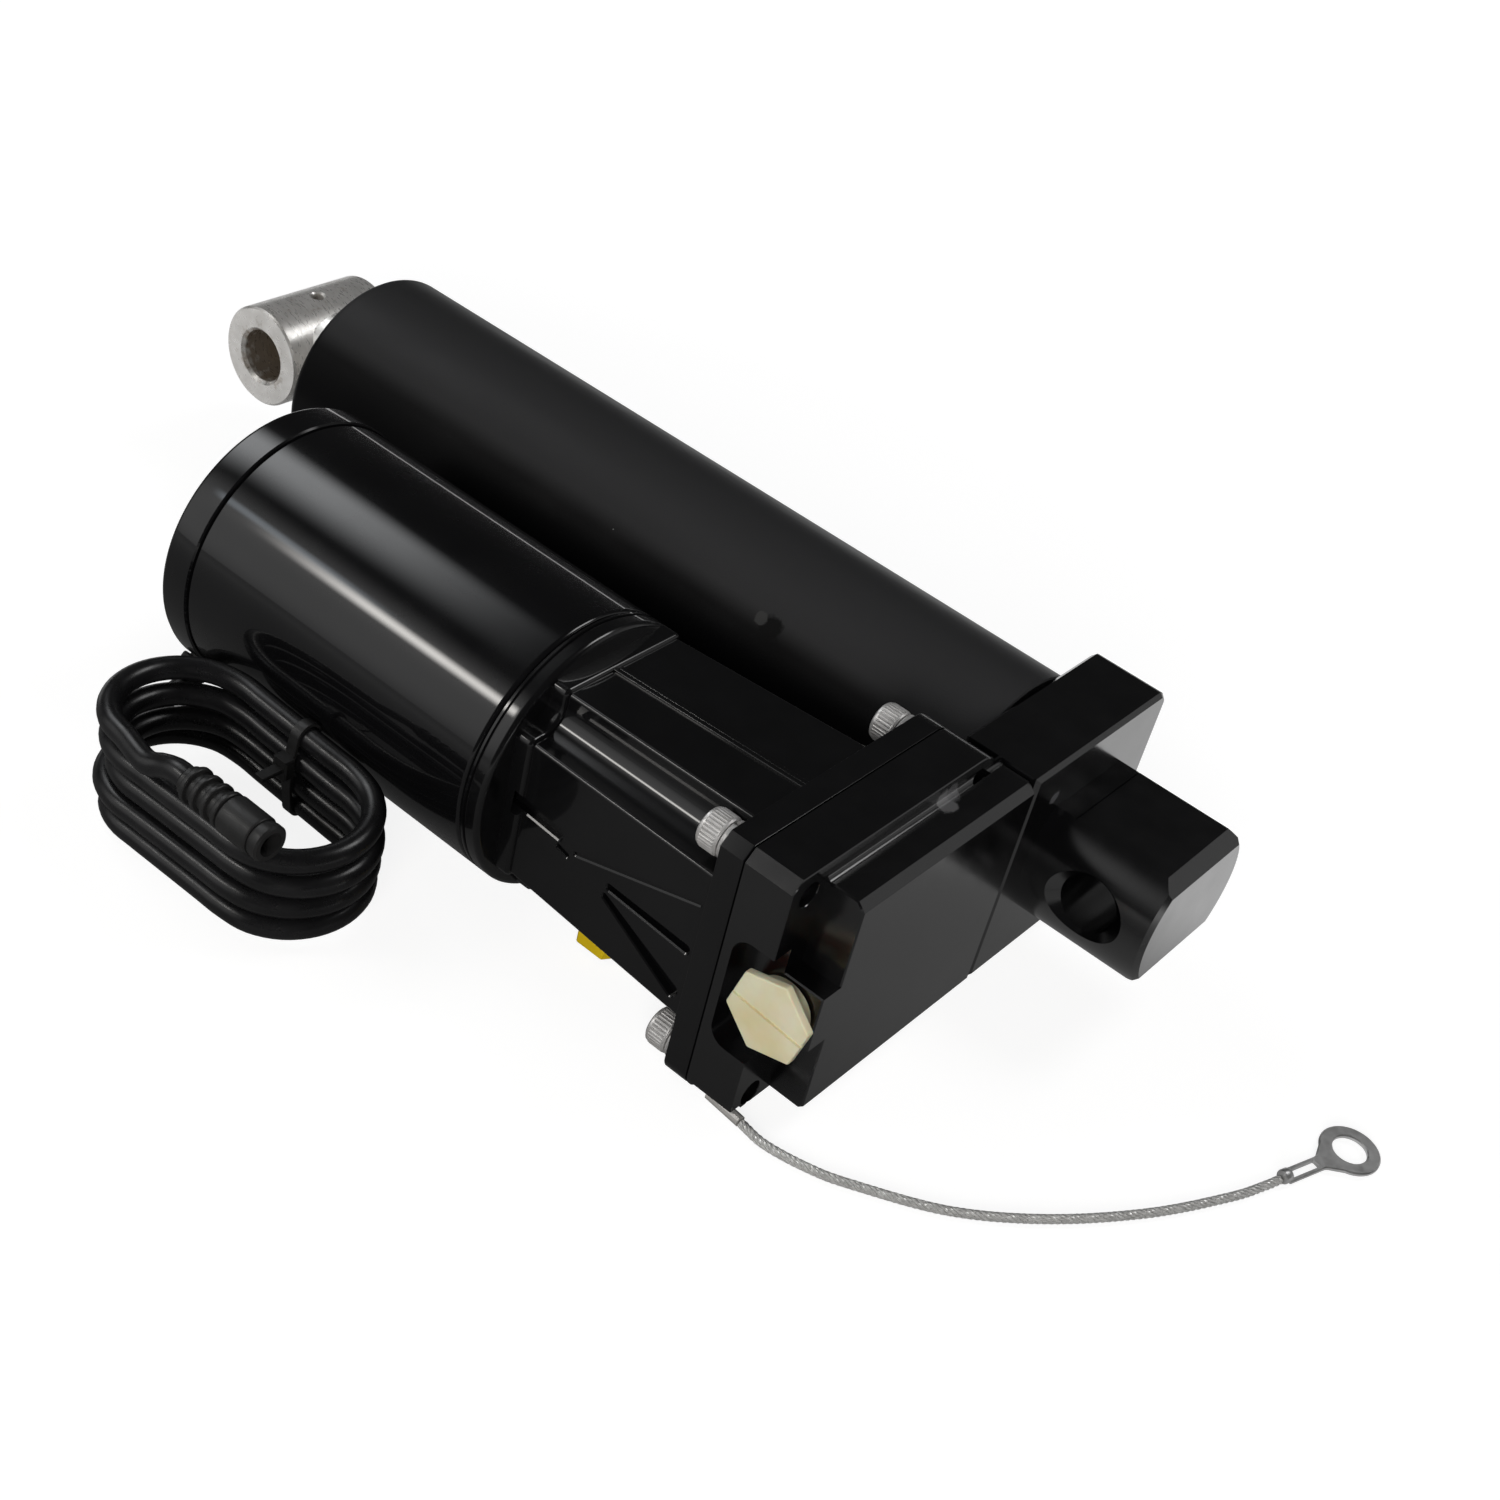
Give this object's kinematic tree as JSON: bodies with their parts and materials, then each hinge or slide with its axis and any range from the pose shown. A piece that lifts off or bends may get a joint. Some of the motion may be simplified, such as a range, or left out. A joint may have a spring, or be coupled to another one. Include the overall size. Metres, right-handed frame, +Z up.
{
  "type": "linear actuator",
  "caption": "Electric linear actuator: geared motor beside a telescoping tube, cross-drilled clevis at the back and pin eye on the rod, with earth rope and coiled supply cable.",
  "frame": {"origin": "middle of the underside, on the floor, measured without the cable and earth rope", "axes": "+X along the tube towards the rod end, +Y from the tube to the motor, +Z up"},
  "size_m": [0.3328, 0.1632, 0.0631],
  "materials": {
    "black_anodised": "black anodised, semi-gloss",
    "black_paint": "gloss black paint",
    "black_matte": "matte black coating",
    "stainless": "satin stainless steel",
    "gear_steel": "machined steel",
    "bronze": "machined bronze",
    "nylon": "natural nylon",
    "yellow_plastic": "moulded yellow plastic",
    "black_rubber": "black rubber",
    "black_plastic": "moulded black plastic",
    "copper": "copper",
    "ferrite": "sintered ferrite",
    "carbon": "pressed carbon"
  },
  "bodies": {
    "body": {"brush_1": "carbon", "brush_2": "carbon", "brush_plate": "black_plastic", "cable_connector": "black_plastic", "cable_grommet": "black_rubber", "cable_hank": "black_rubber", "cable_lead": "black_rubber", "cable_tail": "black_rubber", "clevis_block": "black_anodised", "drain_plug": "yellow_plastic", "flange_screw_1": "stainless", "flange_screw_2": "stainless", "flange_screw_3": "stainless", "flange_screw_4": "stainless", "front_gland": "bronze", "gear_housing": "black_anodised", "gearbox_case": "black_paint", "ground_lead": "stainless", "ground_lug": "stainless", "ground_screw": "stainless", "idler_pin": "gear_steel", "magnet_1": "ferrite", "magnet_2": "ferrite", "motor_can": "black_paint", "motor_cap": "black_paint", "motor_front_plate": "gear_steel", "outer_tube": "black_matte", "output_bearing_outer": "gear_steel", "ring_gear": "gear_steel", "ring_terminal": "stainless", "rod_wiper": "black_rubber", "screw_bearing_outer": "gear_steel", "spring_washer_1": "stainless", "spring_washer_2": "stainless", "spring_washer_3": "stainless", "spring_washer_4": "stainless", "vent_plug": "nylon"},
    "rod": {"rod_tube": "stainless", "rod_end": "stainless", "drive_nut": "bronze", "nut_guide_ring": "nylon"},
    "screw": {"lead_screw": "gear_steel", "screw_gear": "gear_steel", "screw_bearing_inner": "gear_steel", "screw_spacer": "gear_steel"},
    "idler": {"idler_gear": "gear_steel", "idler_bush": "bronze"},
    "carrier": {"planet_carrier": "gear_steel", "output_pinion": "gear_steel", "output_bearing_inner": "gear_steel"},
    "planet_1": {"planet_gear_1": "gear_steel"},
    "planet_2": {"planet_gear_2": "gear_steel"},
    "planet_3": {"planet_gear_3": "gear_steel"},
    "rotor": {"motor_shaft": "gear_steel", "sun_pinion": "gear_steel", "armature_core": "gear_steel", "armature_winding_back": "copper", "armature_winding_front": "copper", "commutator": "copper"}
  },
  "joints": [
    {"name": "motor_spin", "type": "hinge", "parent": "body", "child": "rotor", "pos_m": [-0.0278, 0.03053, 0.03155], "axis": [1, 0, 0], "range_deg": [0, 69120]},
    {"name": "carrier_spin", "type": "hinge", "parent": "body", "child": "carrier", "pos_m": [-0.0678, 0.03053, 0.03155], "axis": [1, 0, 0], "range_deg": [0, 17281]},
    {"name": "planet_1_spin", "type": "hinge", "parent": "carrier", "child": "planet_1", "pos_m": [-0.059, 0.03053, 0.04235], "axis": [1, 0, 0], "range_deg": [-51841, 0]},
    {"name": "planet_2_spin", "type": "hinge", "parent": "carrier", "child": "planet_2", "pos_m": [-0.059, 0.02117, 0.02615], "axis": [1, 0, 0], "range_deg": [-51841, 0]},
    {"name": "planet_3_spin", "type": "hinge", "parent": "carrier", "child": "planet_3", "pos_m": [-0.059, 0.03988, 0.02615], "axis": [1, 0, 0], "range_deg": [-51841, 0]},
    {"name": "idler_spin", "type": "hinge", "parent": "body", "child": "idler", "pos_m": [-0.09855, 0.00294, 0.03155], "axis": [1, 0, 0], "range_deg": [-6481, 0]},
    {"name": "screw_spin", "type": "hinge", "parent": "body", "child": "screw", "pos_m": [-0.09855, -0.03517, 0.03155], "axis": [1, 0, 0], "range_deg": [0, 7201]},
    {"name": "rod_slide", "type": "slide", "parent": "body", "child": "rod", "axis": [1, 0, 0], "range_m": [0, 0.1001]}
  ],
  "couplings": [
    {"joint": "carrier_spin", "follows": "motor_spin", "ratio": 0.25},
    {"joint": "planet_1_spin", "follows": "motor_spin", "ratio": -0.75},
    {"joint": "planet_2_spin", "follows": "motor_spin", "ratio": -0.75},
    {"joint": "planet_3_spin", "follows": "motor_spin", "ratio": -0.75},
    {"joint": "idler_spin", "follows": "motor_spin", "ratio": -0.09375},
    {"joint": "screw_spin", "follows": "motor_spin", "ratio": 0.10417},
    {"joint": "rod_slide", "follows": "motor_spin", "m_per_rad": 0.000082893}
  ]
}
